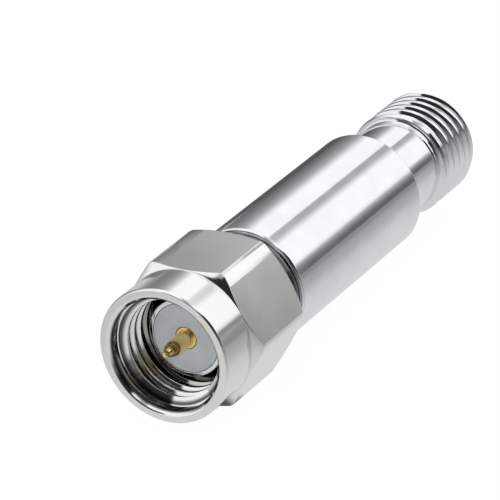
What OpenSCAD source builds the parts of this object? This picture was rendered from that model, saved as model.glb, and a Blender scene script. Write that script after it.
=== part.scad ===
// Coaxial fixed attenuator with a threaded plug at one end and a threaded jack at the other.
// It lies on one flat of its coupling nut, with the coaxial axis along X and the jack towards +X.
// Stations are distances along the axis, counted from the plug's reference plane towards the jack.
// Threads have their true pitch and profile, cut as separate rings without the helix.

/* [Coaxial line] */
// Diameter of the centre conductors where they pass through the insulators
line_d = 1.27; // [1.1:0.01:1.5]
// Diameter of the insulators
insulator_d = 4.1; // [3.7:0.05:4.6]

/* [Plug contacts] */
// Diameter of the contact pin
pin_d = 0.92; // [0.7:0.01:1]
// How far the pin reaches in front of the reference plane
pin_reach = 2.35; // [1.8:0.05:2.5]
// Length of the pin's cone
pin_cone_len = 0.75; // [0.4:0.05:0.9]
// Diameter of the small nib left on the end of the pin
nib_d = 0.3; // [0.15:0.01:0.4]
// Length of the nib
nib_len = 0.25; // [0.15:0.05:0.5]
// Wall of the outer contact sleeve
contact_wall = 0.245; // [0.18:0.005:0.35]
// Length of the outer contact sleeve in front of its shoulder
contact_len = 2.1; // [1.8:0.05:2.6]

/* [Plug shell] */
// Wall of the plug shell where the nut turns on it
shell_wall = 0.65; // [0.5:0.05:0.9]
// How far the flange stands out over the barrel's bore
flange_lap = 0.48; // [0.3:0.01:0.7]
// Thickness of the flange
flange_len = 0.9; // [0.5:0.05:1.5]
// Bevel at both edges of the flange
flange_bevel = 0.12; // [0.05:0.01:0.2]

/* [Coupling thread] */
// Pitch of the thread, 36 turns to the inch
thread_pitch = 0.7056; // [0.6:0.0001:0.8]
// Angle between the two flanks of the thread
thread_angle = 60; // [50:1:65]
// Height of the thread from root to crest
thread_depth = 0.39; // [0.3:0.01:0.45]
// Wall of the jack between its mouth and the root of its thread
jack_wall = 0.475; // [0.4:0.005:0.7]
// Radial play between the nut's thread and the jack's
thread_play = 0.04; // [0.02:0.01:0.08]

/* [Coupling nut] */
// How far the nut reaches in front of the reference plane
nut_reach = 2.5; // [2:0.1:3.2]
// Length of the round collar in front of the hexagon
collar_len = 2.7; // [2:0.1:4]
// Wall of the collar over the thread
collar_wall = 0.79; // [0.5:0.01:0.8]
// Length of the hexagon
hex_len = 5.35; // [4.5:0.05:6.5]
// Wall of the hexagon over the thread, at the middle of a flat
hex_wall = 0.825; // [0.825:0.025:1.2]
// How much the turned blank takes off each corner of the hexagon
corner_cut = 0.1; // [0.05:0.01:0.15]
// Slope of the turned cones at both ends of the hexagon, from the end face
cone_angle = 35; // [25:1:45]
// Bevel around the outside of the nut's mouth
rim_bevel = 0.1; // [0.05:0.05:0.3]
// How far the countersunk mouth opens past the thread's crest
mouth_margin = 0.325; // [0.2:0.005:0.4]
// How far the smooth guide bore behind the mouth clears the thread's crest
guide_margin = 0.1; // [0.05:0.01:0.15]
// Depth of the guide bore from the nut's front
guide_len = 0.75; // [0.4:0.05:1]
// Length of each guiding land beside the ring's groove
land_len = 0.85; // [0.6:0.05:1]
// Length of the relief behind the nut's thread, in front of the plug's shoulder
relief_len = 0.4; // [0.3:0.05:0.6]

/* [Retaining ring] */
// Width of the ring along the axis
ring_w = 0.5; // [0.4:0.05:0.7]
// Thickness of the ring across the axis
ring_t = 0.6; // [0.5:0.05:0.75]
// Depth of the ring's groove in the plug shell
ring_seat = 0.35; // [0.25:0.05:0.4]
// Width of the gap that lets the ring spring
ring_gap = 1.2; // [0.8:0.1:2]
// How far the nut can float along the axis, each way
nut_float = 0.15; // [0.05:0.01:0.25]

/* [Barrel] */
// Wall of the barrel
barrel_wall = 0.73; // [0.6:0.01:1.5]
// Bevel at both ends of the barrel
barrel_bevel = 0.22; // [0.1:0.02:0.3]
// Length of each shell's spigot inside the barrel
spigot_len = 2.8; // [2:0.1:4]

/* [Attenuator chip] */
// Length of the chip along the axis
chip_len = 6.4; // [5:0.1:8]
// Width of the chip
chip_w = 4; // [3.6:0.1:5]
// Thickness of the chip
chip_t = 0.5; // [0.38:0.01:0.64]
// Room between each end of the chip and the shells
chip_room = 1.25; // [1.2:0.05:2]
// Width of the chip's edge that the ground clamps hold
chip_ledge = 0.7; // [0.5:0.05:0.85]
// Wall of the ground clamps beside the chip
clamp_wall = 0.85; // [0.8:0.05:1.2]
// Depth of the clamps' channel from the axis
channel_depth = 1.5; // [1.2:0.05:1.8]
// Length of the chip's end inside the slotted conductors
grip_len = 0.9; // [0.6:0.05:1.2]

/* [Jack] */
// Length of the smooth neck behind the thread
neck_len = 4.05; // [2:0.05:6]
// Wall of the neck around the insulator
neck_wall = 0.7; // [0.5:0.02:0.9]
// Length of the jack's thread
thread_len = 4; // [3:0.1:8]
// Depth of the jack's mouth
mouth_depth = 1.95; // [1.7:0.05:2.05]
// Bevel at both ends of the jack's thread
thread_bevel = 0.3; // [0.15:0.05:0.4]
// Width of the four slots in the socket
slot_w = 0.16; // [0.1:0.01:0.2]
// Length of the slots in the socket
slot_len = 2; // [1.5:0.1:2.4]

/* [Fits] */
// Gap between pieces that are pressed or screwed together, on each side
fit_gap = 0.02; // [0.01:0.005:0.03]
// Running clearance between the nut and the plug shell, on each side
run_gap = 0.06; // [0.04:0.01:0.1]
// Clearance around the retaining ring, on each side
ring_play = 0.03; // [0.02:0.01:0.05]
// Slip between the plug's outer contact and a jack's mouth, on each side
slip_gap = 0.015; // [0.01:0.005:0.03]
// Gap between the nut and the flange with the nut pushed back
nut_gap = 0.25; // [0.05:0.05:0.4]
// How far the socket's end lies behind the jack's reference plane
socket_recess = 0.05; // [0:0.01:0.1]

/* [Hidden] */
$fn = 96;
hex_sides = 6;
socket_slots = 4;
cut_over = 1; // how far cutting shapes run past the faces that they cut

// Diameters
contact_d = insulator_d + 2 * contact_wall;
shell_d = insulator_d + 2 * shell_wall;
jack_mouth_d = contact_d + 2 * slip_gap;
thread_root_d = jack_mouth_d + 2 * jack_wall;
thread_d = thread_root_d + 2 * thread_depth;
nut_bore_d = thread_root_d + 2 * thread_play;
nut_relief_d = thread_d + 2 * thread_play;
collar_d = thread_d + 2 * collar_wall;
hex_af = thread_d + 2 * hex_wall;
hex_corner_d = hex_af / cos(180 / hex_sides);
corner_d = hex_corner_d - 2 * corner_cut;
lip_bore_d = shell_d + 2 * run_gap;
ring_seat_d = shell_d - 2 * ring_seat;
ring_id = ring_seat_d + 2 * ring_play;
ring_od = ring_id + 2 * ring_t;
nut_groove_d = ring_od + 2 * ring_play;
clamp_d = chip_w + 2 * clamp_wall;
barrel_bore_d = clamp_d + 2 * fit_gap;
barrel_d = barrel_bore_d + 2 * barrel_wall;
flange_d = barrel_bore_d + 2 * flange_lap;
neck_d = insulator_d + 2 * neck_wall;
socket_bore_d = pin_d + 2 * fit_gap;
channel_w = chip_w - 2 * chip_ledge;

// Stations of the nut and its ring
nut_front = -nut_reach;
hex_front = nut_front + collar_len;
nut_back = hex_front + hex_len;
groove_half = ring_w / 2 + ring_play;
ring_station = nut_back - land_len - groove_half;
lip_front = ring_station - groove_half - land_len;
relief_front = contact_len - relief_len;

// Stations of the barrel and what it holds
flange_front = nut_back + nut_float + nut_gap;
barrel_front = flange_front + flange_len;
clamp_front = barrel_front + spigot_len;
chip_front = clamp_front + chip_room;
chip_back = chip_front + chip_len;
clamp_back = chip_back + chip_room;
barrel_back = clamp_back + spigot_len;

// Stations of the jack
neck_back = barrel_back + neck_len;
jack_front = neck_back + thread_len;
jack_plane = jack_front - mouth_depth;

// The thread's profile: flats at the crest and root, and how far each flank runs along the axis
crest_flat = thread_pitch / 8;
flank_run = thread_depth * tan(thread_angle / 2);
root_flat = thread_pitch - crest_flat - 2 * flank_run;

// Place of the coaxial axis in the part's own frame
axis_z = hex_af / 2;
mid_station = (nut_front + jack_front) / 2;

// Turns a station frame, with its axis along Z, into the part's own frame.
module on_axis() {
    translate([-mid_station, 0, axis_z]) rotate([0, 90, 0]) children();
}

// A turned piece from an outline of [radius, station] points.
module turned(outline) {
    rotate_extrude() polygon(outline);
}

// A straight tube between two stations.
module tube(outer_d, inner_d, from, to) {
    difference() {
        translate([0, 0, from]) cylinder(d = outer_d, h = to - from);
        translate([0, 0, from - cut_over]) cylinder(d = inner_d, h = to - from + 2 * cut_over);
    }
}

// Outlines of a row of thread grooves around a station. Each is as wide as floor_flat at floor_r and
// opens towards open_r, past which it runs on by as much as the thread is deep.
module thread_grooves(middle, count, floor_r, open_r, floor_flat) {
    over_r = 2 * open_r - floor_r;
    half = floor_flat / 2;
    for (i = [0 : count - 1]) translate([0, middle + (i - (count - 1) / 2) * thread_pitch])
        polygon([[floor_r, -half],
                 [over_r, -half - 2 * flank_run],
                 [over_r, half + 2 * flank_run],
                 [floor_r, half]]);
}

// A slot across the end of a conductor that grips the chip: it opens towards the chip.
module chip_slot(from, to) {
    slot_t = chip_t + 2 * fit_gap;
    translate([-slot_t / 2, -line_d, from]) cube([slot_t, 2 * line_d, to - from]);
}

// The nut before its hexagon is cut: collar, two cones and the full round between them.
module nut_blank() {
    back_face_d = collar_d - 2 * rim_bevel;
    front_cone = (corner_d - collar_d) / 2 * tan(cone_angle);
    back_cone = (corner_d - back_face_d) / 2 * tan(cone_angle);
    turned([[0, nut_front],
            [collar_d / 2 - rim_bevel, nut_front],
            [collar_d / 2, nut_front + rim_bevel],
            [collar_d / 2, hex_front],
            [corner_d / 2, hex_front + front_cone],
            [corner_d / 2, nut_back - back_cone],
            [back_face_d / 2, nut_back],
            [0, nut_back]]);
}

// The hollow of the nut: countersink, guide bore, thread, relief, rear lip and the groove in the lip.
module nut_hollow() {
    mouth_r = thread_d / 2 + mouth_margin;
    guide_r = thread_d / 2 + guide_margin;
    bore_r = nut_bore_d / 2;
    guide_back = nut_front + guide_len;
    groove_count = round((relief_front - guide_back) / thread_pitch);
    rotate_extrude() {
        polygon([[0, nut_front - cut_over],
                 [mouth_r, nut_front - cut_over],
                 [mouth_r, nut_front],
                 [guide_r, nut_front + mouth_r - guide_r],
                 [guide_r, guide_back],
                 [bore_r, guide_back + guide_r - bore_r],
                 [bore_r, relief_front],
                 [nut_relief_d / 2, relief_front],
                 [nut_relief_d / 2, lip_front],
                 [lip_bore_d / 2, lip_front],
                 [lip_bore_d / 2, ring_station - groove_half],
                 [nut_groove_d / 2, ring_station - groove_half],
                 [nut_groove_d / 2, ring_station + groove_half],
                 [lip_bore_d / 2, ring_station + groove_half],
                 [lip_bore_d / 2, nut_back + cut_over],
                 [0, nut_back + cut_over]]);
        thread_grooves(relief_front - groove_count * thread_pitch / 2, groove_count,
                       nut_relief_d / 2, bore_r, crest_flat);
    }
}

// What is cut off a round blank to leave the hexagon, with one flat facing down.
module around_hexagon() {
    difference() {
        translate([0, 0, hex_front]) cylinder(d = hex_corner_d + 2 * cut_over, h = hex_len + cut_over);
        translate([0, 0, hex_front - cut_over]) rotate([0, 0, 180 / hex_sides])
            cylinder(d = hex_corner_d, h = hex_len + 3 * cut_over, $fn = hex_sides);
    }
}

module coupling_nut() {
    color("silver") on_axis() difference() {
        nut_blank();
        around_hexagon();
        nut_hollow();
    }
}

// Sprung ring, open at the top, that holds the nut on the plug shell.
module retaining_ring() {
    color("darkgoldenrod") on_axis() difference() {
        tube(ring_od, ring_id, ring_station - ring_w / 2, ring_station + ring_w / 2);
        translate([-ring_od, -ring_gap / 2, ring_station - ring_w])
            cube([ring_od, ring_gap, 2 * ring_w]);
    }
}

// Outer contact, nut seat with its groove, flange and spigot, turned in one piece.
module plug_shell() {
    groove = groove_half + nut_float;
    color("silver") on_axis() turned([
        [insulator_d / 2, 0],
        [contact_d / 2, 0],
        [contact_d / 2, contact_len],
        [shell_d / 2, contact_len],
        [shell_d / 2, ring_station - groove],
        [ring_seat_d / 2, ring_station - groove],
        [ring_seat_d / 2, ring_station + groove],
        [shell_d / 2, ring_station + groove],
        [shell_d / 2, flange_front],
        [flange_d / 2 - flange_bevel, flange_front],
        [flange_d / 2, flange_front + flange_bevel],
        [flange_d / 2, barrel_front - flange_bevel],
        [flange_d / 2 - flange_bevel, barrel_front],
        [clamp_d / 2, barrel_front],
        [clamp_d / 2, clamp_front],
        [insulator_d / 2, clamp_front]]);
}

module insulator(from, to) {
    color("whitesmoke") on_axis() tube(insulator_d - 2 * fit_gap, line_d + 2 * fit_gap, from, to);
}

module plug_insulator() {
    insulator(0, clamp_front);
}

// Contact pin and plug-side centre conductor, turned in one piece and slotted for the chip.
module plug_pin() {
    tip = -pin_reach;
    cone_front = tip + nib_len;
    color("goldenrod") on_axis() difference() {
        turned([[0, tip],
                [nib_d / 2, tip],
                [nib_d / 2, cone_front],
                [pin_d / 2, cone_front + pin_cone_len],
                [pin_d / 2, 0],
                [line_d / 2, 0],
                [line_d / 2, chip_front + grip_len],
                [0, chip_front + grip_len]]);
        chip_slot(chip_front - fit_gap, chip_front + grip_len + cut_over);
    }
}

module barrel() {
    bore_r = barrel_bore_d / 2;
    outer_r = barrel_d / 2;
    color("gainsboro") on_axis() turned([
        [bore_r, barrel_front],
        [outer_r - barrel_bevel, barrel_front],
        [outer_r, barrel_front + barrel_bevel],
        [outer_r, barrel_back - barrel_bevel],
        [outer_r - barrel_bevel, barrel_back],
        [bore_r, barrel_back]]);
}

// One half of the split sleeve that grounds the chip's edges: a half round with a channel for the
// line and a pocket for half of the chip's thickness. It lies on the side that turns to -X here.
module ground_clamp() {
    pocket_w = chip_w + 2 * fit_gap;
    pocket_len = chip_len + 2 * fit_gap;
    pocket_depth = chip_t / 2 + fit_gap;
    clamp_len = clamp_back - clamp_front - 2 * fit_gap;
    difference() {
        translate([0, 0, clamp_front + fit_gap]) cylinder(d = clamp_d, h = clamp_len);
        translate([-fit_gap / 2, -clamp_d, clamp_front - cut_over])
            cube([2 * clamp_d, 2 * clamp_d, clamp_len + 4 * cut_over]);
        translate([-channel_depth, -channel_w / 2, clamp_front - cut_over])
            cube([2 * channel_depth, channel_w, clamp_len + 4 * cut_over]);
        translate([-pocket_depth, -pocket_w / 2, chip_front - fit_gap])
            cube([2 * pocket_depth, pocket_w, pocket_len]);
    }
}

module upper_clamp() {
    color("goldenrod") on_axis() ground_clamp();
}

module lower_clamp() {
    color("goldenrod") on_axis() rotate([0, 0, 180]) ground_clamp();
}

module attenuator_chip() {
    color("white") on_axis() translate([-chip_t / 2, -chip_w / 2, chip_front]) cube([chip_t, chip_w, chip_len]);
}

// Spigot, neck, thread and mouth of the jack, turned in one piece. An even count of grooves leaves a
// crest in the middle of the thread.
module jack_shell() {
    thread_r = thread_d / 2;
    groove_count = 2 * round(thread_len / thread_pitch / 2);
    color("silver") on_axis() rotate_extrude() difference() {
        polygon([[insulator_d / 2, clamp_back],
                 [clamp_d / 2, clamp_back],
                 [clamp_d / 2, barrel_back],
                 [neck_d / 2, barrel_back],
                 [neck_d / 2, neck_back],
                 [thread_r - thread_bevel, neck_back],
                 [thread_r, neck_back + thread_bevel],
                 [thread_r, jack_front - thread_bevel],
                 [thread_r - thread_bevel, jack_front],
                 [jack_mouth_d / 2, jack_front],
                 [jack_mouth_d / 2, jack_plane],
                 [insulator_d / 2, jack_plane]]);
        thread_grooves((neck_back + jack_front) / 2, groove_count, thread_root_d / 2, thread_r, root_flat);
    }
}

module jack_insulator() {
    insulator(clamp_back, jack_plane);
}

// Jack-side centre conductor: slotted for the chip at one end, a sprung socket at the other.
module jack_socket() {
    socket_front = jack_plane - socket_recess;
    bore_depth = pin_reach + socket_bore_d / 2;
    color("goldenrod") on_axis() difference() {
        translate([0, 0, chip_back - grip_len])
            cylinder(d = line_d, h = socket_front - chip_back + grip_len);
        chip_slot(chip_back - grip_len - cut_over, chip_back + fit_gap);
        translate([0, 0, socket_front - bore_depth]) cylinder(d = socket_bore_d, h = bore_depth + cut_over);
        for (i = [0 : socket_slots / 2 - 1]) rotate([0, 0, 360 / socket_slots * (i + 0.5)])
            translate([-slot_w / 2, -line_d, socket_front - slot_len])
                cube([slot_w, 2 * line_d, slot_len + cut_over]);
    }
}

coupling_nut();
retaining_ring();
plug_shell();
plug_insulator();
plug_pin();
barrel();
upper_clamp();
lower_clamp();
attenuator_chip();
jack_shell();
jack_insulator();
jack_socket();
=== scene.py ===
"""Looks of a coaxial attenuator: bright nickel shells, a gold pin and a white insulator, on a pale
floor."""

import math

import bmesh
import bpy
from mathutils import Matrix, Quaternion, Vector


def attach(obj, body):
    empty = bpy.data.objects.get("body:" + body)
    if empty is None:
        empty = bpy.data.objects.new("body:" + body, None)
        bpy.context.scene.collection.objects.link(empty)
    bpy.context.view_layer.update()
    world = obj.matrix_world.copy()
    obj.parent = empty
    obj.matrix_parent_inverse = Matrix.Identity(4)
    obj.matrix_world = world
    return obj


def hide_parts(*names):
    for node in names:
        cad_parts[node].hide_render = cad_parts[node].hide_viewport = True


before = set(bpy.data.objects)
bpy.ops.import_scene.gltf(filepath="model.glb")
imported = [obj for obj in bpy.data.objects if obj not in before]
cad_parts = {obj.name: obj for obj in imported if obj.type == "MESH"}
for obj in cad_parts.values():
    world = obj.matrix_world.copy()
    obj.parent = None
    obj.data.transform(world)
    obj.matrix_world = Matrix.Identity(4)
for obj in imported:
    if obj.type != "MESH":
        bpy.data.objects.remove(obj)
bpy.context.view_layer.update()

# Sizes are in millimetres. Stations run along the coaxial axis from the plug's reference plane to
# the jack.
MM = 0.001
AXIS_HEIGHT = 4.0
MID_STATION = 13.45

# Coupling nut
NUT_FRONT = -2.5
HEX_FRONT = 0.2
NUT_BACK = 5.55
COLLAR_R = 3.965
RIM_BEVEL = 0.1
CORNER_R = 4.518
HEX_INRADIUS = 4.0
CONE_SLOPE = math.tan(math.radians(35))
FRONT_ARC_ROUNDING = 0.02
BACK_ARC_ROUNDING = 0.07
MOUTH_R = 3.5
GUIDE_R = 3.275
GUIDE_BACK = -1.75
LEAD_IN = 0.26
NUT_MINOR_R = 2.825
NUT_MAJOR_R = 3.2
NUT_CREST_ROUNDING = 0.03
RELIEF_FRONT = 1.7
RELIEF_R = 3.215
LIP_FRONT = 3.29
LIP_R = 2.76
RING_GROOVE = (4.14, 4.7)
RING_GROOVE_R = 3.01

# How polishing has rolled each of the hexagon's flats over towards one side and the other: distance
# from the middle of the flat, and tilt from there in degrees
ROLL = {1: ((1.55, 1.2), (1.7, 2.6), (1.8, 4.5), (1.95, 8.0)), -1: ((2.16, 9.0),)}

# Plug shell
CONTACT_R = 2.295
CONTACT_LEN = 2.1
SHELL_R = 2.7
SHELL_GROOVE = (3.99, 4.85)
SHELL_GROOVE_R = 2.35
FLANGE = (5.95, 6.85)
FLANGE_R = 3.35
FLANGE_BEVEL = 0.12
SPIGOT_R = 2.85
SPIGOT_LEN = 2.8

# Insulators and centre conductors
INSULATOR_SEAT_R = 2.05
INSULATOR_R = 2.03
INSULATOR_BORE_R = 0.655
LINE_R = 0.635
PIN_R = 0.46
PIN_TIP = -2.35
NIB_R = 0.15
NIB_LEN = 0.25
PIN_CONE = 0.75
CONE_SWELL = (0.3, 0.35)  # distance behind the front of the pin's cone, and radius there
CHIP = (10.9, 17.3)
CHIP_SLOT = 0.54
CHIP_CLEARANCE = 0.02
GRIP = 0.9
SOCKET_R = 0.48
SOCKET_DEPTH = 2.83
SOCKET_SLOT = 0.16
SOCKET_SLOT_LEN = 2.0
SOCKET_SLOT_ANGLES = (45, 135)
SOCKET_RECESS = 0.05
CUT_OVER = 1.0  # how far a slot's cutter runs past the end that it opens

# Barrel and jack
BARREL = (6.85, 21.35)
BARREL_R = 3.6
BARREL_BORE_R = 2.87
BARREL_FRONT_BEVEL = 0.1
BARREL_BACK_BEVEL = 0.22
NECK_END = 25.4
NECK_R = 2.75
NECK_FILLET = 0.25
JACK_FRONT = 29.4
JACK_PLANE = 27.45
JACK_MOUTH_R = 2.31
THREAD_R = 3.175
THREAD_ROOT_R = 2.885
THREAD_ROOT_FLAT = 0.16
THREAD_CREST_ROUNDING = 0.05
THREAD_BEVEL = 0.3
THREAD_START = 25.875
BAND_END = 25.57
BAND_BEVEL = 0.13
UNDERCUT_END = 26.05
UNDERCUT_R = 2.855

# Threads of 36 turns to the inch, with an angle of 60 degrees between their flanks
PITCH = 25.4 / 36
CREST_FLAT = PITCH / 8
FLANK_SLOPE = math.tan(math.radians(30))

# Threading tool: its floor's corners are rounded by a share of the floor's width, and wings on both
# sides of it round the crests
TOOL_ROUNDING = 0.4
WING_CLEARANCE = 0.002
WING_HEIGHT = 0.06
WING_GAP = 0.01
RUN_IN = 0.45
RUN_OUT = 0.4

# Fineness of the meshes
TURN_STEPS = 240
THREAD_STEPS = 144
ROUNDING_STEPS = 4
MERGE = 1e-4
HOLD = 0.015
CRISP_ANGLE = math.radians(30)
LARGE_FLAT = 4.0  # square millimetres

# Painted shade in the recesses of the nut and the plug shell and on the nut's back face, with a
# painted light line on the shell's flange: the radius of the bore, grey levels by radius and by
# station up to there, and by station past it. The edge value on the next line softens the change.
PAINTED_SHADE_EDGE = 0.04
NUT_PAINTED_SHADE = (3.36,
            [(2.95, 1.0), (3.1, 0.14), (3.21, 0.14), (3.24, 1.0)],
            [(-2.12, 0.08), (-2.02, 1.0), (0.2, 1.0), (0.9, 0.12)],
            [(5.5, 1.0), (5.54, 0.55)])
# Plug shell: painted shade over the shell from just behind its front edge, with a painted light
# line near the flange's back bevel
SHELL_PAINTED_SHADE = (0.1, [(0.0, 1.0)], [(0.0, 1.0)],
              [(0.1, 1.0), (0.4, 0.12), (6.62, 0.1), (6.68, 0.7), (6.74, 0.7), (6.8, 0.1)])

# Floor: how far it lies below the part, its size, and how far its tones reach to each side
FLOOR_DROP = 0.02
FLOOR_SIZE = 2000
FLOOR_REACH = 50

# Camera that fits the photograph
CAMERA_PLACE = (-180.293, -101.327, 97.87)
CAMERA_AIM = (-1.762, 2.474, 3.86)
CAMERA_ROLL = math.radians(3.184)


# Materials


def linear(hex_code):
    """An sRGB hex colour as the linear values that Blender's sockets take."""
    parts = [int(hex_code[i:i + 2], 16) / 255 for i in (1, 3, 5)]
    return [p / 12.92 if p <= 0.04045 else ((p + 0.055) / 1.055) ** 2.4 for p in parts] + [1.0]


def add(tree, kind, links=None, **settings):
    """Adds a node. Settings name its properties or its inputs, and links feed its inputs by name or
    number."""
    node = tree.nodes.new("ShaderNode" + kind)
    for name, value in settings.items():
        if hasattr(node, name):
            setattr(node, name, value)
        else:
            node.inputs[name.replace("_", " ")].default_value = value
    for name, socket in (links or {}).items():
        tree.links.new(socket, node.inputs[name])
    return node


def ramp_stops(ramp, stops):
    """Fills a colour ramp with (position, hex colour or grey level) stops."""
    elements = ramp.color_ramp.elements
    while len(elements) < len(stops):
        elements.new(1.0)
    for element, (position, colour) in zip(elements, stops):
        element.position = position
        element.color = linear(colour) if isinstance(colour, str) else [colour] * 3 + [1.0]


def blank_material(name):
    """A node material with only its output, and the tree, Object coordinates and output to build it
    with."""
    material = bpy.data.materials.new(name)
    material.use_nodes = True
    tree = material.node_tree
    tree.nodes.clear()
    output = add(tree, "OutputMaterial")
    coords = add(tree, "TexCoord").outputs["Object"]
    return material, tree, coords, output


def painted_recess_shade(tree, coords, bore_r, by_radius, by_station, past_bore):
    """Painted shade in recesses, as grey levels: by radius and by station up to the bore's radius,
    and by station alone past it."""
    reach, first, last = 5.0, -5.0, 15.0
    along = add(tree, "SeparateXYZ", {"Vector": coords})
    station = add(tree, "MapRange", {"Value": along.outputs["X"]},
                  From_Min=(first - MID_STATION) * MM, From_Max=(last - MID_STATION) * MM)
    centred = add(tree, "Mapping", {"Vector": coords}, Location=(0, 0, -AXIS_HEIGHT * MM),
                  Scale=(0, 1, 1))
    radius = add(tree, "VectorMath", {0: centred.outputs["Vector"]}, operation="LENGTH")
    share = add(tree, "MapRange", {"Value": radius.outputs["Value"]},
                From_Min=0.0, From_Max=reach * MM)
    levels = []
    for source, start, span, stops in ((share, 0.0, reach, by_radius),
                                       (station, first, last - first, by_station),
                                       (station, first, last - first, past_bore)):
        ramp = add(tree, "ValToRGB", {"Fac": source.outputs["Result"]})
        ramp_stops(ramp, [((place - start) / span, level) for place, level in stops])
        levels.append(ramp.outputs["Color"])
    inside = add(tree, "MixRGB", {"Color1": levels[0], "Color2": levels[1]},
                 blend_type="MULTIPLY", Fac=1.0)
    past = add(tree, "MapRange", {"Value": radius.outputs["Value"]},
               From_Min=(bore_r - PAINTED_SHADE_EDGE) * MM, From_Max=(bore_r + PAINTED_SHADE_EDGE) * MM)
    shade = add(tree, "MixRGB", {"Fac": past.outputs["Result"], "Color1": inside.outputs["Color"],
                                 "Color2": levels[2]})
    return shade.outputs["Color"]


def plated_metal(name, light, dark, roughness, haze_mm, line_mm, line_bump, painted_shade=None):
    """Turned metal with a bright plated finish: a mirror with a faint cloudy haze and fine turning
    lines, and, where given, painted shade darkening its recesses. Real turning lines are too fine
    to show, so they are drawn about 0.1 mm apart."""
    material, tree, coords, output = blank_material(name)
    haze = add(tree, "TexNoise", {"Vector": coords}, Scale=1 / (haze_mm * MM), Detail=3.0)
    tint = add(tree, "ValToRGB", {"Fac": haze.outputs["Fac"]})
    ramp_stops(tint, [(0.35, dark), (0.65, light)])
    colour = tint.outputs["Color"]
    # Painted shade: the recess levels multiply the plating's colour
    if painted_shade:
        recess_shaded = add(tree, "MixRGB", {"Color1": colour, "Color2": painted_recess_shade(tree, coords, *painted_shade)},
                     blend_type="MULTIPLY", Fac=1.0)
        colour = recess_shaded.outputs["Color"]
    gloss = add(tree, "MapRange", {"Value": haze.outputs["Fac"]},
                From_Min=0.3, From_Max=0.7, To_Min=roughness[0], To_Max=roughness[1])
    lines = add(tree, "TexWave", {"Vector": coords}, bands_direction="X",
                Scale=math.tau / 20 / (line_mm * MM), Distortion=1.5, Detail=2.0)
    bump = add(tree, "Bump", {"Height": lines.outputs["Fac"]},
               Strength=line_bump, Distance=0.004 * MM)
    shader = add(tree, "BsdfPrincipled",
                 {"Base Color": colour, "Roughness": gloss.outputs["Result"],
                  "Normal": bump.outputs["Normal"]}, Metallic=1.0)
    tree.links.new(shader.outputs["BSDF"], output.inputs["Surface"])
    return material


def fluoropolymer(name):
    """Turned PTFE: waxy and bluish white, with soft cloudiness and rings left by the facing tool,
    drawn 0.16 mm apart so that they show."""
    material, tree, coords, output = blank_material(name)
    cloud = add(tree, "TexNoise", {"Vector": coords}, Scale=1 / (1.2 * MM), Detail=4.0)
    tint = add(tree, "ValToRGB", {"Fac": cloud.outputs["Fac"]})
    ramp_stops(tint, [(0.3, "#d3dae0"), (0.7, "#e6ebee")])
    gloss = add(tree, "MapRange", {"Value": cloud.outputs["Fac"]}, To_Min=0.34, To_Max=0.5)
    centred = add(tree, "Mapping", {"Vector": coords}, Location=(0, 0, -AXIS_HEIGHT * MM))
    rings = add(tree, "TexWave", {"Vector": centred.outputs["Vector"]}, wave_type="RINGS",
                rings_direction="X", Scale=math.tau / 20 / (0.16 * MM), Distortion=0.6)
    bump = add(tree, "Bump", {"Height": rings.outputs["Fac"]}, Strength=0.25, Distance=0.01 * MM)
    shader = add(tree, "BsdfPrincipled",
                 {"Base Color": tint.outputs["Color"], "Roughness": gloss.outputs["Result"],
                  "Normal": bump.outputs["Normal"]}, IOR=1.35)
    tree.links.new(shader.outputs["BSDF"], output.inputs["Surface"])
    return material


def alumina_ceramic(name):
    """Fired alumina: matt ivory white with a fine grain, drawn at 0.1 mm so that it shows."""
    material, tree, coords, output = blank_material(name)
    grain = add(tree, "TexNoise", {"Vector": coords}, Scale=1 / (0.1 * MM), Detail=5.0)
    tint = add(tree, "ValToRGB", {"Fac": grain.outputs["Fac"]})
    ramp_stops(tint, [(0.3, "#dcd8cc"), (0.7, "#efece3")])
    bump = add(tree, "Bump", {"Height": grain.outputs["Fac"]}, Strength=0.3, Distance=0.01 * MM)
    shader = add(tree, "BsdfPrincipled",
                 {"Base Color": tint.outputs["Color"], "Normal": bump.outputs["Normal"]},
                 Roughness=0.6, IOR=1.76)
    tree.links.new(shader.outputs["BSDF"], output.inputs["Surface"])
    return material


# Mesh helpers


def outline(bm, points, closed=True):
    """Draws a turning outline of (station, radius, rounding) points, rounds its corners and holds
    their ends. A corner whose rounding is None stays bare."""
    verts = [bm.verts.new((s, 0, r)) for s, r, _ in points]
    pairs = list(zip(verts, verts[1:])) + ([(verts[-1], verts[0])] if closed else [])
    for pair in pairs:
        bm.edges.new(pair)
    before = set(bm.verts) - set(verts)
    bare = {vert for vert, point in zip(verts, points) if point[2] is None}
    for vert, (_, _, rounding) in zip(verts, points):
        if rounding:
            bmesh.ops.bevel(bm, geom=[vert], offset=rounding, offset_type="OFFSET",
                            segments=ROUNDING_STEPS, profile=0.5, affect="VERTICES",
                            clamp_overlap=False, material=-1)
    verts = [v for v in bm.verts if v not in before]
    for edge in [e for e in bm.edges if e.verts[0] in verts and not e.link_faces]:
        length = edge.calc_length()
        for end in edge.verts[:]:
            if length > 6 * HOLD and end not in bare:
                split, _ = bmesh.utils.edge_split(edge, end, HOLD / edge.calc_length())
                edge = max((edge, split), key=lambda e: e.calc_length())
    verts = [v for v in bm.verts if v not in before]
    edges = dict.fromkeys(e for v in verts for e in v.link_edges if not e.link_faces)
    return verts + list(edges)


def turned(points, closed=True):
    """A turned piece: its outline spun once round the coaxial axis."""
    bm = bmesh.new()
    bmesh.ops.spin(bm, geom=outline(bm, points, closed), cent=(0, 0, 0), axis=(1, 0, 0),
                   angle=math.tau, steps=TURN_STEPS, use_merge=True)
    bmesh.ops.remove_doubles(bm, verts=bm.verts, dist=MERGE)
    return bm


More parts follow.
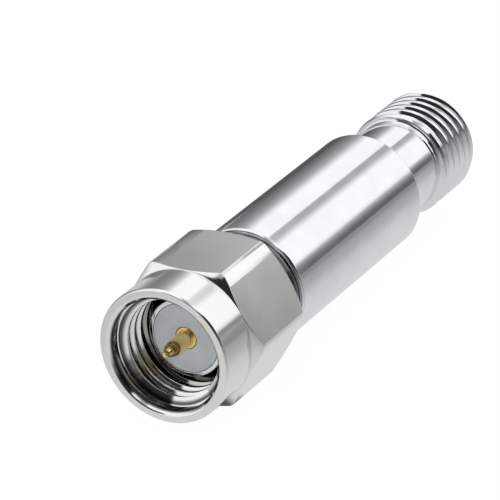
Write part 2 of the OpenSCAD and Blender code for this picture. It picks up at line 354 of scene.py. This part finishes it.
def thread_tool(floor_r, floor_flat, crest_r, rounding, begin, end, turn_by=0.0):
    """What a threading tool takes out along a right-hand helix: flat at the floor, opening at 60
    degrees and rounding the crests on both sides of the groove. It starts above the axis, or turned
    from there."""
    outwards = math.copysign(1, crest_r - floor_r)
    half = floor_flat / 2
    edge = half + abs(crest_r - floor_r) * FLANK_SLOPE
    wing = PITCH / 2 - WING_GAP
    lip, top = crest_r + WING_CLEARANCE * outwards, crest_r + WING_HEIGHT * outwards
    near_side = [(half, floor_r, TOOL_ROUNDING * floor_flat), (edge, lip, rounding),
                 (wing, lip, 0), (wing, top, 0)]
    far_side = [(-s, r, corner) for s, r, corner in reversed(near_side)]
    bm = bmesh.new()
    outline(bm, [(begin + s, r, corner) for s, r, corner in near_side + far_side])
    turns = (end - begin) / PITCH
    steps = round(THREAD_STEPS * turns)
    bmesh.ops.spin(bm, geom=bm.verts[:] + bm.edges[:], cent=(0, 0, 0), axis=(1, 0, 0),
                   angle=math.tau * turns, dvec=((end - begin) / steps, 0, 0), steps=steps)
    bmesh.ops.holes_fill(bm, edges=bm.edges)
    bmesh.ops.rotate(bm, cent=(0, 0, 0), matrix=Matrix.Rotation(turn_by, 3, "X"), verts=bm.verts)
    bmesh.ops.recalc_face_normals(bm, faces=bm.faces)
    return bm


def slot_cutter(low, high, turn_by=0.0):
    """A block between two corners, turned round the axis."""
    bm = bmesh.new()
    bmesh.ops.create_cube(bm, size=1.0)
    size = Vector(high) - Vector(low)
    bmesh.ops.scale(bm, vec=size, verts=bm.verts)
    bmesh.ops.translate(bm, vec=Vector(low) + size / 2, verts=bm.verts)
    bmesh.ops.rotate(bm, cent=(0, 0, 0), matrix=Matrix.Rotation(turn_by, 3, "X"), verts=bm.verts)
    return bm


def slice_flat(bm, point, normal):
    """Cuts off what lies past a plane and closes the cut."""
    cut = bmesh.ops.bisect_plane(bm, geom=bm.verts[:] + bm.edges[:] + bm.faces[:], dist=1e-5,
                                 plane_co=point, plane_no=normal, clear_outer=True)
    bmesh.ops.edgenet_fill(
        bm, edges=[e for e in cut["geom_cut"] if isinstance(e, bmesh.types.BMEdge)])


def cut_hexagon(bm):
    """Cuts six flats into the turned blank, one of them facing down, rolled over a little along
    their edges, and rounds the arcs where they meet the cones."""
    for i in range(6):
        facing = Matrix.Rotation(math.tau / 6 * i, 3, "X")
        slice_flat(bm, facing @ Vector((0, 0, HEX_INRADIUS)), facing @ Vector((0, 0, 1)))
        for side, roll in ROLL.items():
            height = HEX_INRADIUS
            for (across, tilt), following in zip(roll, roll[1:] + (None,)):
                slope = math.radians(tilt)
                slice_flat(bm, facing @ Vector((0, side * across, height)),
                           facing @ Vector((0, side * math.sin(slope), math.cos(slope))))
                if following:
                    height -= (following[0] - across) * math.tan(slope)

    def along(face):
        return abs(face.normal.x) < 0.1

    def on_cone(face):
        return 0.6 < abs(face.normal.x) < 0.95

    bm.normal_update()
    middle = (HEX_FRONT + NUT_BACK) / 2
    arcs = [e for e in bm.edges if len(e.link_faces) == 2 and e.verts[0].co.x > HEX_FRONT
            and any(map(along, e.link_faces)) and any(map(on_cone, e.link_faces))
            and all(v.co.yz.length > HEX_INRADIUS - 0.01 for v in e.verts)]
    front_arcs = [e for e in arcs if e.verts[0].co.x < middle]
    back_arcs = [e for e in arcs if e.verts[0].co.x > middle]
    for offset, chosen in ((FRONT_ARC_ROUNDING, front_arcs), (BACK_ARC_ROUNDING, back_arcs)):
        bmesh.ops.bevel(bm, geom=chosen, offset=offset, offset_type="OFFSET", segments=3,
                        profile=0.5, affect="EDGES", clamp_overlap=False, material=-1)


def into_place(bm):
    """Moves a shape from millimetre stations to the part's own frame in metres."""
    bmesh.ops.translate(bm, vec=(-MID_STATION, 0, AXIS_HEIGHT), verts=bm.verts)
    bmesh.ops.scale(bm, vec=(MM, MM, MM), verts=bm.verts)


def subtract(piece, cutters):
    """Takes shapes out of a piece, and keeps the edges of the cuts and of large flats crisp."""
    for bm in cutters:
        into_place(bm)
        mesh = bpy.data.meshes.new("cutter")
        bm.to_mesh(mesh)
        bm.free()
        cutter = bpy.data.objects.new("cutter", mesh)
        bpy.context.collection.objects.link(cutter)
        modifier = piece.modifiers.new("cut", "BOOLEAN")
        modifier.operation = "DIFFERENCE"
        modifier.solver = "EXACT"
        modifier.object = cutter
        depsgraph = bpy.context.evaluated_depsgraph_get()
        result = bpy.data.meshes.new_from_object(piece.evaluated_get(depsgraph))
        piece.modifiers.clear()
        piece.data = result
        bpy.data.objects.remove(cutter)
    mesh = piece.data
    mesh.set_sharp_from_angle(angle=CRISP_ANGLE)
    for face in mesh.polygons:
        if face.area > LARGE_FLAT * MM * MM:
            for loop in face.loop_indices:
                mesh.edges[mesh.loops[loop].edge_index].use_edge_sharp = True


def finish_piece(name, bm, material, node, body):
    """Turns a shape into a piece that stands for a CAD node and rides on its body."""
    bmesh.ops.recalc_face_normals(bm, faces=bm.faces)
    into_place(bm)
    mesh = bpy.data.meshes.new(name)
    for face in bm.faces:
        face.smooth = True
    bm.to_mesh(mesh)
    bm.free()
    mesh.materials.append(material)
    piece = bpy.data.objects.new(name, mesh)
    bpy.context.collection.objects.link(piece)
    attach(piece, body)
    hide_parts(node)
    return piece


# Pieces


def coupling_nut(material):
    """Round collar and hexagon, with a guide bore and a helical thread behind its countersunk
    mouth."""
    front_cone = (CORNER_R - COLLAR_R) * CONE_SLOPE
    back_r = COLLAR_R - RIM_BEVEL
    back_cone = (CORNER_R - back_r) * CONE_SLOPE
    bm = turned([
        (GUIDE_BACK + LEAD_IN, NUT_MINOR_R, 0), (GUIDE_BACK, GUIDE_R, 0),
        (NUT_FRONT + MOUTH_R - GUIDE_R, GUIDE_R, 0.03), (NUT_FRONT, MOUTH_R, 0.08),
        (NUT_FRONT, COLLAR_R - RIM_BEVEL, 0.03), (NUT_FRONT + RIM_BEVEL, COLLAR_R, 0.03),
        (HEX_FRONT, COLLAR_R, 0.02), (HEX_FRONT + front_cone, CORNER_R, None),
        (NUT_BACK - back_cone, CORNER_R, None), (NUT_BACK, back_r, 0.05),
        (NUT_BACK, LIP_R, 0.05), (RING_GROOVE[1], LIP_R, 0),
        (RING_GROOVE[1], RING_GROOVE_R, 0), (RING_GROOVE[0], RING_GROOVE_R, 0),
        (RING_GROOVE[0], LIP_R, 0), (LIP_FRONT, LIP_R, 0.03),
        (LIP_FRONT, RELIEF_R, 0), (RELIEF_FRONT, RELIEF_R, 0), (RELIEF_FRONT, NUT_MINOR_R, 0)])
    bmesh.ops.recalc_face_normals(bm, faces=bm.faces)
    cut_hexagon(bm)
    piece = finish_piece("nut_with_thread", bm, material, "coupling_nut", "nut")
    subtract(piece, [thread_tool(NUT_MAJOR_R, CREST_FLAT, NUT_MINOR_R, NUT_CREST_ROUNDING,
                                 GUIDE_BACK - RUN_IN, RELIEF_FRONT + RUN_OUT)])


def jack_shell(material):
    """Spigot, smooth neck and threaded mouth. The thread runs out in an undercut before a plain
    band."""
    spigot_back = BARREL[1] - SPIGOT_LEN
    flank_run = (THREAD_R - UNDERCUT_R) * FLANK_SLOPE
    bm = turned([
        (JACK_FRONT, THREAD_R - THREAD_BEVEL, 0.03), (JACK_FRONT, JACK_MOUTH_R, 0.06),
        (JACK_PLANE, JACK_MOUTH_R, 0), (JACK_PLANE, INSULATOR_SEAT_R, 0.02),
        (spigot_back, INSULATOR_SEAT_R, 0.05), (spigot_back, SPIGOT_R, 0.1),
        (BARREL[1], SPIGOT_R, 0), (BARREL[1], NECK_R, 0), (NECK_END, NECK_R, NECK_FILLET),
        (NECK_END, THREAD_R - BAND_BEVEL, 0.02), (NECK_END + BAND_BEVEL, THREAD_R, 0),
        (BAND_END, THREAD_R, 0), (BAND_END + flank_run, UNDERCUT_R, 0),
        (UNDERCUT_END, UNDERCUT_R, 0), (UNDERCUT_END + flank_run, THREAD_R, 0),
        (JACK_FRONT - THREAD_BEVEL, THREAD_R, 0)])
    piece = finish_piece("jack_with_thread", bm, material, "jack_shell", "housing")
    subtract(piece, [thread_tool(THREAD_ROOT_R, THREAD_ROOT_FLAT, THREAD_R, THREAD_CREST_ROUNDING,
                                 THREAD_START, JACK_FRONT + RUN_OUT, -math.pi / 2)])


def plug_shell(material):
    """Outer contact sleeve, nut seat with its groove, flange and spigot."""
    spigot_end = FLANGE[1] + SPIGOT_LEN
    bm = turned([
        (0, INSULATOR_SEAT_R, 0.02), (0, CONTACT_R, 0.05), (CONTACT_LEN, CONTACT_R, 0),
        (CONTACT_LEN, SHELL_R, 0.08), (SHELL_GROOVE[0], SHELL_R, 0),
        (SHELL_GROOVE[0], SHELL_GROOVE_R, 0), (SHELL_GROOVE[1], SHELL_GROOVE_R, 0),
        (SHELL_GROOVE[1], SHELL_R, 0), (FLANGE[0], SHELL_R, 0),
        (FLANGE[0], FLANGE_R - FLANGE_BEVEL, 0.03), (FLANGE[0] + FLANGE_BEVEL, FLANGE_R, 0.03),
        (FLANGE[1] - FLANGE_BEVEL, FLANGE_R, 0.03), (FLANGE[1], FLANGE_R - FLANGE_BEVEL, 0.03),
        (FLANGE[1], SPIGOT_R, 0), (spigot_end, SPIGOT_R, 0.1),
        (spigot_end, INSULATOR_SEAT_R, 0.05)])
    finish_piece("plug_shell_turned", bm, material, "plug_shell", "housing")


def barrel(material):
    """Smooth round body with a bevel at each end, a narrow one beside the nut."""
    front, back = BARREL
    bm = turned([
        (front, BARREL_BORE_R, 0.03), (front, BARREL_R - BARREL_FRONT_BEVEL, 0.03),
        (front + BARREL_FRONT_BEVEL, BARREL_R, 0.03), (back - BARREL_BACK_BEVEL, BARREL_R, 0.06),
        (back, BARREL_R - BARREL_BACK_BEVEL, 0.06), (back, BARREL_BORE_R, 0.03)])
    finish_piece("barrel_polished", bm, material, "barrel", "housing")


def insulator(name, node, front, back, material):
    """White tube that holds a centre conductor."""
    bm = turned([(front, INSULATOR_BORE_R, 0.03), (front, INSULATOR_R, 0.04),
                 (back, INSULATOR_R, 0.04), (back, INSULATOR_BORE_R, 0.03)])
    finish_piece(name, bm, material, node, "housing")


def chip_slot(start, end):
    """The block that a conductor's slot for the chip takes out."""
    return slot_cutter((start, -2 * LINE_R, -CHIP_SLOT / 2), (end, 2 * LINE_R, CHIP_SLOT / 2))


def plug_pin(material):
    """Contact pin with its domed cone and nib, and the plug's centre conductor."""
    cone_front = PIN_TIP + NIB_LEN
    swell_behind, swell_r = CONE_SWELL
    end = CHIP[0] + GRIP
    bm = turned([
        (PIN_TIP, 0, 0), (PIN_TIP, NIB_R, 0.09), (cone_front, NIB_R, 0.06),
        (cone_front + swell_behind, swell_r, 0.15), (cone_front + PIN_CONE, PIN_R, 0.12),
        (0, PIN_R, 0.03), (0, LINE_R, 0.05), (end, LINE_R, 0.04), (end, 0, 0)], closed=False)
    piece = finish_piece("pin_and_conductor", bm, material, "plug_pin", "housing")
    subtract(piece, [chip_slot(CHIP[0] - CHIP_CLEARANCE, end + CUT_OVER)])


def jack_socket(material):
    """Slotted socket and the jack's centre conductor."""
    front = JACK_PLANE - SOCKET_RECESS
    end = CHIP[1] - GRIP
    floor = front - SOCKET_DEPTH
    bm = turned([
        (end, 0, 0), (end, LINE_R, 0.04), (front, LINE_R, 0.05), (front, SOCKET_R, 0.05),
        (floor, SOCKET_R, 0), (floor, 0, 0)], closed=False)
    piece = finish_piece("socket_and_conductor", bm, material, "jack_socket", "housing")
    low = (front - SOCKET_SLOT_LEN, -2 * LINE_R, -SOCKET_SLOT / 2)
    high = (front + CUT_OVER, 2 * LINE_R, SOCKET_SLOT / 2)
    subtract(piece, [chip_slot(end - CUT_OVER, CHIP[1] + CHIP_CLEARANCE)]
             + [slot_cutter(low, high, math.radians(angle)) for angle in SOCKET_SLOT_ANGLES])


# Stage


def pale_floor():
    """White floor. What metal mirrors of it is painted light that fades with distance on both sides
    of the part, with a painted contact shadow under the nut.
    """
    bm = bmesh.new()
    bmesh.ops.create_grid(bm, x_segments=1, y_segments=1, size=FLOOR_SIZE * MM)
    bmesh.ops.translate(bm, vec=(0, 0, -FLOOR_DROP * MM), verts=bm.verts)
    mesh = bpy.data.meshes.new("floor")
    bm.to_mesh(mesh)
    bm.free()
    material, tree, coords, output = blank_material("white_floor")
    path = add(tree, "LightPath")
    across = add(tree, "SeparateXYZ", {"Vector": coords})
    span = add(tree, "MapRange", {"Value": across.outputs["Y"]},
               From_Min=-FLOOR_REACH * MM, From_Max=FLOOR_REACH * MM)
    # Painted light that metal mirrors: a pool on the floor, brightest along the part and falling
    # off to each side
    fade = add(tree, "ValToRGB", {"Fac": span.outputs["Result"]})
    near_side = [(0.0, 0.3), (0.26, 0.41), (0.36, 0.47), (0.4, 0.57), (0.425, 0.66), (0.45, 0.71),
                 (0.55, 0.71)]
    ramp_stops(fade, near_side + [(0.6, 0.45), (0.64, 0.16), (0.75, 0.1)])
    # Beyond a slanting line on the far side the painted light on the floor stays bright
    pale = add(tree, "ValToRGB", {"Fac": span.outputs["Result"]})
    ramp_stops(pale, near_side + [(0.6, 0.62), (0.75, 0.6)])
    slant = add(tree, "Math", {0: across.outputs["Y"], 2: across.outputs["X"]},
                operation="MULTIPLY_ADD")
    slant.inputs[1].default_value = -1.3
    beyond = add(tree, "MapRange", {"Value": slant.outputs["Value"]},
                 From_Min=-8 * MM, From_Max=-12 * MM)
    patches = add(tree, "MixRGB", {"Fac": beyond.outputs["Result"],
                                   "Color1": fade.outputs["Color"],
                                   "Color2": pale.outputs["Color"]})
    # Painted contact shadow where the nut lies on the floor, which metal mirrors
    under_nut = add(tree, "Mapping", {"Vector": coords}, vector_type="TEXTURE",
                    Location=(-12.4 * MM, 0, 0), Scale=(2.2 * MM, 2.8 * MM, 1))
    nearness = add(tree, "TexGradient", {"Vector": under_nut.outputs["Vector"]},
                   gradient_type="SPHERICAL")
    contact = add(tree, "MapRange", {"Value": nearness.outputs["Fac"]}, From_Min=0.0, From_Max=0.2)
    shaded = add(tree, "MixRGB", {"Fac": contact.outputs["Result"],
                                  "Color1": patches.outputs["Color"]}, Color2=(0.1, 0.1, 0.1, 1))
    mirrored = add(tree, "Emission", {"Color": shaded.outputs["Color"]}, Strength=1.0)
    # The camera sees it almost white, with a faint shadow
    white = add(tree, "Emission", Color=(1, 1, 1, 1), Strength=1.04)
    matt = add(tree, "BsdfDiffuse", Color=(0.9, 0.9, 0.9, 1))
    seen = add(tree, "MixShader", {1: matt.outputs["BSDF"], 2: white.outputs["Emission"]}, Fac=0.92)
    by_camera = add(tree, "MixShader", {0: path.outputs["Is Camera Ray"], 1: matt.outputs["BSDF"],
                                        2: seen.outputs["Shader"]})
    shiny = add(tree, "Math", {0: path.outputs["Is Glossy Ray"],
                               1: path.outputs["Is Transmission Ray"]}, operation="MAXIMUM")
    by_mirror = add(tree, "MixShader", {0: shiny.outputs["Value"], 1: by_camera.outputs["Shader"],
                                        2: mirrored.outputs["Emission"]})
    tree.links.new(by_mirror.outputs["Shader"], output.inputs["Surface"])
    mesh.materials.append(material)
    floor = bpy.data.objects.new("floor", mesh)
    bpy.context.collection.objects.link(floor)


def studio_light():
    """Soft strip lights that run along the part overhead, with a gap between them and darker walls
    low down."""
    world = bpy.data.worlds.new("studio")
    bpy.context.scene.world = world
    world.use_nodes = True
    tree = world.node_tree
    tree.nodes.clear()
    ray = add(tree, "TexCoord").outputs["Generated"]
    direction = add(tree, "SeparateXYZ", {"Vector": ray})
    toward = add(tree, "Math", {0: direction.outputs["Y"]}, operation="MULTIPLY")
    toward.inputs[1].default_value = -1.0
    angle = add(tree, "Math", {0: direction.outputs["Z"], 1: toward.outputs["Value"]},
                operation="ARCTAN2")
    turn_share = add(tree, "MapRange", {"Value": angle.outputs["Value"]},
                     From_Min=-math.pi, From_Max=math.pi)
    lights = add(tree, "ValToRGB", {"Fac": turn_share.outputs["Result"]})
    # Angle above the near horizon in degrees, and the light level there
    levels = [(-180, 0.1), (-90, 0.3), (0, 0.14), (6, 0.14), (12, 0.26), (18, 0.52), (22, 1.0),
              (27, 1.12), (66, 1.12), (72, 0.85), (78, 0.52), (84, 0.46), (89, 0.48), (90.5, 1.1),
              (122, 1.12), (127, 1.0), (132, 0.8), (137, 0.6), (142, 0.45), (147, 0.37),
              (157, 0.26), (167, 0.19), (177, 0.14), (180, 0.12)]
    ramp_stops(lights, [((a + 180) / 360, level) for a, level in levels])
    # Over the plug's end the gap between the strips closes and the walls differ
    over_plug = [(-180, 0.1), (-90, 0.3), (0, 0.35), (8, 0.5), (13, 0.28), (17, 0.25),
                 (18.5, 0.75), (22, 1.0), (27, 1.12), (66, 1.12), (78, 0.85), (84, 0.95),
                 (90, 1.12), (117, 1.12), (122, 0.85), (127, 0.58), (132, 0.44), (137, 0.33),
                 (147, 0.25), (157, 0.22), (167, 0.32), (177, 0.44), (180, 0.5)]
    closed = add(tree, "ValToRGB", {"Fac": turn_share.outputs["Result"]})
    ramp_stops(closed, [((a + 180) / 360, level) for a, level in over_plug])
    gap = add(tree, "MapRange", {"Value": direction.outputs["X"]}, From_Min=0.776, From_Max=0.788)
    strips = add(tree, "MixRGB", {"Fac": gap.outputs["Result"], "Color1": closed.outputs["Color"],
                                  "Color2": lights.outputs["Color"]})
    # Towards the plug's end the wall on the far side is bright
    far_wall = add(tree, "ValToRGB", {"Fac": turn_share.outputs["Result"]})
    ramp_stops(far_wall, [((a + 180) / 360, level) for a, level in levels if a < 130]
               + [(0.89, 1.0), (1.0, 1.0)])
    plug_end = add(tree, "MapRange", {"Value": direction.outputs["X"]},
                   From_Min=-0.1, From_Max=-0.3)
    both_ends = add(tree, "MixRGB", {"Fac": plug_end.outputs["Result"],
                                     "Color1": strips.outputs["Color"],
                                     "Color2": far_wall.outputs["Color"]})
    # A dark screen stands on the near side of the plug's end, up to a level edge
    facing = add(tree, "VectorMath", {0: ray}, operation="DOT_PRODUCT")
    facing.inputs[1].default_value = (-0.787, -0.457, 0.414)
    screen = add(tree, "MapRange", {"Value": facing.outputs["Value"]}, From_Min=0.57, From_Max=0.62)
    below = add(tree, "MapRange", {"Value": direction.outputs["Z"]}, From_Min=0.67, From_Max=0.63)
    dark_side = add(tree, "Math", {0: screen.outputs["Result"], 1: below.outputs["Result"]},
                    operation="MULTIPLY")
    shade = add(tree, "MapRange", {"Value": direction.outputs["Z"]},
                From_Min=0.12, From_Max=0.3, To_Min=0.16, To_Max=0.024)
    darkened = add(tree, "MixRGB", {"Fac": dark_side.outputs["Value"],
                                    "Color1": both_ends.outputs["Color"],
                                    "Color2": shade.outputs["Result"]})
    path = add(tree, "LightPath")
    room = add(tree, "Background", {"Color": darkened.outputs["Color"]}, Strength=1.0)
    white = add(tree, "Background", Color=(1, 1, 1, 1), Strength=1.0)
    shown = add(tree, "MixShader", {0: path.outputs["Is Camera Ray"],
                                    1: room.outputs["Background"],
                                    2: white.outputs["Background"]})
    output = add(tree, "OutputWorld")
    tree.links.new(shown.outputs["Shader"], output.inputs["Surface"])


def front_fill():
    """Lamp beside the camera that lights the white insulator down in the mouth. Metal doesn't
    mirror it."""
    data = bpy.data.lights.new("front_fill", "AREA")
    data.energy = 0.14
    data.size = 0.05
    lamp = bpy.data.objects.new("front_fill", data)
    bpy.context.collection.objects.link(lamp)
    lamp.location = Vector((-240, -120, 125)) * MM
    lamp.rotation_mode = "QUATERNION"
    lamp.rotation_quaternion = lamp.location.to_track_quat("Z", "Y")
    lamp.visible_glossy = False


def photo_camera():
    """Camera at the photograph's angle, with its slight roll."""
    data = bpy.data.cameras.new("camera")
    data.lens = 288
    data.clip_start = 0.01
    camera = bpy.data.objects.new("camera", data)
    bpy.context.collection.objects.link(camera)
    camera.location = Vector(CAMERA_PLACE) * MM
    view = (Vector(CAMERA_AIM) * MM - camera.location).normalized()
    camera.rotation_mode = "QUATERNION"
    camera.rotation_quaternion = Quaternion(view, CAMERA_ROLL) @ view.to_track_quat("-Z", "Y")
    bpy.context.scene.camera = camera


def main():
    # Bright nickel: a cool mirror. The nut's is a little warmer and more hazy.
    nickel = plated_metal("bright_nickel_plate", "#eef0f3", "#e8eaed", roughness=(0.05, 0.09),
                          haze_mm=1.5, line_mm=0.12, line_bump=0.05)
    # The shell's and the nut's plating carry painted shade in their recesses, and the shell a
    # painted light line
    shell_nickel = plated_metal("shell_nickel_plate", "#eef0f3", "#e8eaed", roughness=(0.05, 0.09),
                                haze_mm=1.5, line_mm=0.12, line_bump=0.05, painted_shade=SHELL_PAINTED_SHADE)
    nut_nickel = plated_metal("nut_nickel_plate", "#f0f0ef", "#ebebea", roughness=(0.07, 0.1),
                              haze_mm=2.5, line_mm=0.12, line_bump=0.05, painted_shade=NUT_PAINTED_SHADE)
    # Hard gold over turned brass: pale yellow, with softer reflections
    gold = plated_metal("hard_gold_plate", "#ffe6a4", "#f6d07a", roughness=(0.14, 0.22),
                        haze_mm=0.5, line_mm=0.1, line_bump=0.15)
    # Bare spring bronze: brown and satin
    bronze = plated_metal("spring_bronze", "#b98a4e", "#a8763c", roughness=(0.25, 0.35),
                          haze_mm=0.5, line_mm=0.1, line_bump=0.2)
    ptfe = fluoropolymer("turned_ptfe")
    alumina = alumina_ceramic("fired_alumina")

    coupling_nut(nut_nickel)
    jack_shell(nickel)
    plug_shell(shell_nickel)
    barrel(nickel)
    insulator("plug_insulator_turned", "plug_insulator", 0, FLANGE[1] + SPIGOT_LEN, ptfe)
    insulator("jack_insulator_turned", "jack_insulator", BARREL[1] - SPIGOT_LEN, JACK_PLANE, ptfe)
    plug_pin(gold)
    jack_socket(gold)
    inner_finishes = {"retaining_ring": bronze, "upper_clamp": gold, "lower_clamp": gold,
                      "attenuator_chip": alumina}
    for node, material in inner_finishes.items():
        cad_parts[node].data.materials.clear()
        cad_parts[node].data.materials.append(material)

    pale_floor()
    studio_light()
    front_fill()
    photo_camera()
    bpy.context.scene.view_settings.view_transform = "Standard"


main()
